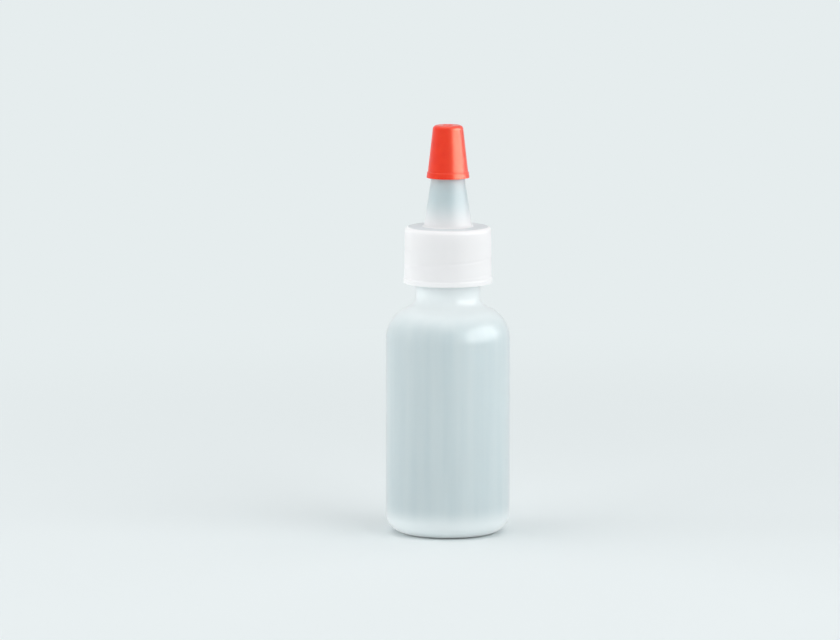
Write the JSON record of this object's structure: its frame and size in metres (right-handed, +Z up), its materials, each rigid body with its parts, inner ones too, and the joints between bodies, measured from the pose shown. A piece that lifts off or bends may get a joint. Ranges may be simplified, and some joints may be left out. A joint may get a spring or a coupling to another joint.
{
  "type": "eye drop bottle",
  "caption": "Round translucent squeeze bottle with a screw-on cap that carries a tapered dropper spout, closed by a small push-on tip cap.",
  "frame": {"origin": "centre of the ring that the bottle stands on", "axes": "+Z up along the axis of the bottle, towards the spout; the bottle is round, so X and Y are free choices"},
  "size_m": [0.033, 0.033, 0.1087],
  "materials": {
    "bottle_plastic": "satin, milky translucent low-density polyethylene, blow-moulded",
    "liner_foam": "matte foamed polyethylene sheet, die-cut",
    "spout_cap_plastic": "satin, milky white low-density polyethylene, injection-moulded",
    "tip_cap_plastic": "glossy red-orange polyethylene, injection-moulded"
  },
  "bodies": {
    "bottle": {"bottle": "bottle_plastic"},
    "sealing_ring": {"cap_liner": "liner_foam"},
    "spout_cap": {"spout_cap": "spout_cap_plastic"},
    "tip_cap": {"tip_cap": "tip_cap_plastic"}
  },
  "joints": [
    {"name": "cap_lift", "type": "slide", "parent": "bottle", "child": "sealing_ring", "axis": [0, 0, 1], "range_m": [0, 0.01375]},
    {"name": "cap_unscrew", "type": "hinge", "parent": "sealing_ring", "child": "spout_cap", "pos_m": [0, 0, 0.0668], "axis": [0, 0, 1], "range_deg": [0, 1170]},
    {"name": "tip_pull", "type": "slide", "parent": "spout_cap", "child": "tip_cap", "axis": [0, 0, 1], "range_m": [0, 0.016]}
  ],
  "couplings": [
    {"joint": "cap_lift", "follows": "cap_unscrew", "m_per_rad": 0.00067322}
  ]
}
